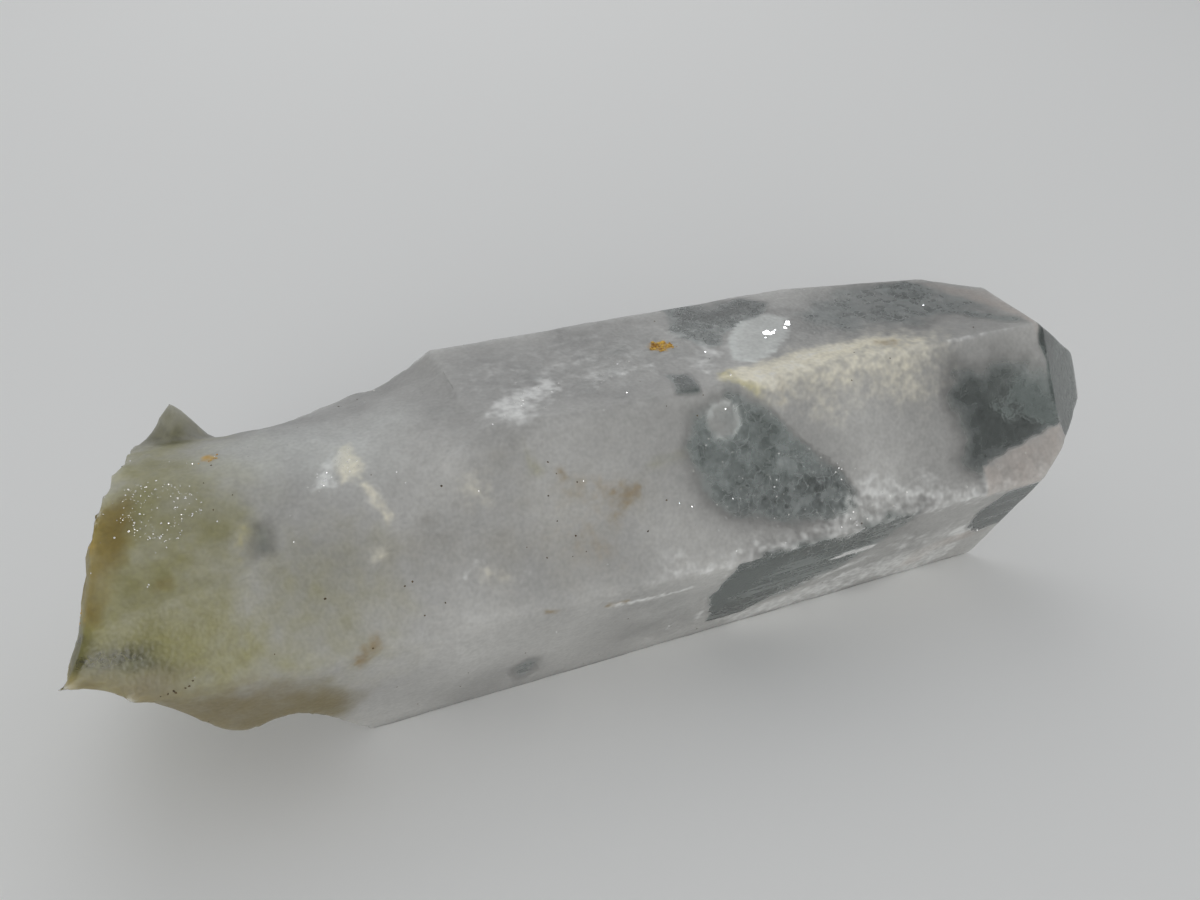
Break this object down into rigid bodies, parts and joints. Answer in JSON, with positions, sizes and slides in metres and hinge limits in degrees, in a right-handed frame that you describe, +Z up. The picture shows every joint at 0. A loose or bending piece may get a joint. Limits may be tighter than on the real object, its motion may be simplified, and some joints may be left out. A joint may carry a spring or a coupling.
{
  "type": "quartz crystal",
  "caption": "Loose milky quartz crystal, a six-sided prism with a natural point at one end and a broken base, lying on one flat prism face.",
  "frame": {"origin": "centre of the bounding box, on the resting face", "axes": "+X along the crystal towards its natural point, +Z up from the prism face that it lies on"},
  "size_m": [0.0922, 0.0296, 0.026],
  "materials": {
    "milky_quartz": "Clear quartz clouded milky white, satin natural faces, stained olive at the broken base"
  },
  "bodies": {
    "root": {"quartz_crystal": "milky_quartz"}
  },
  "joints": []
}
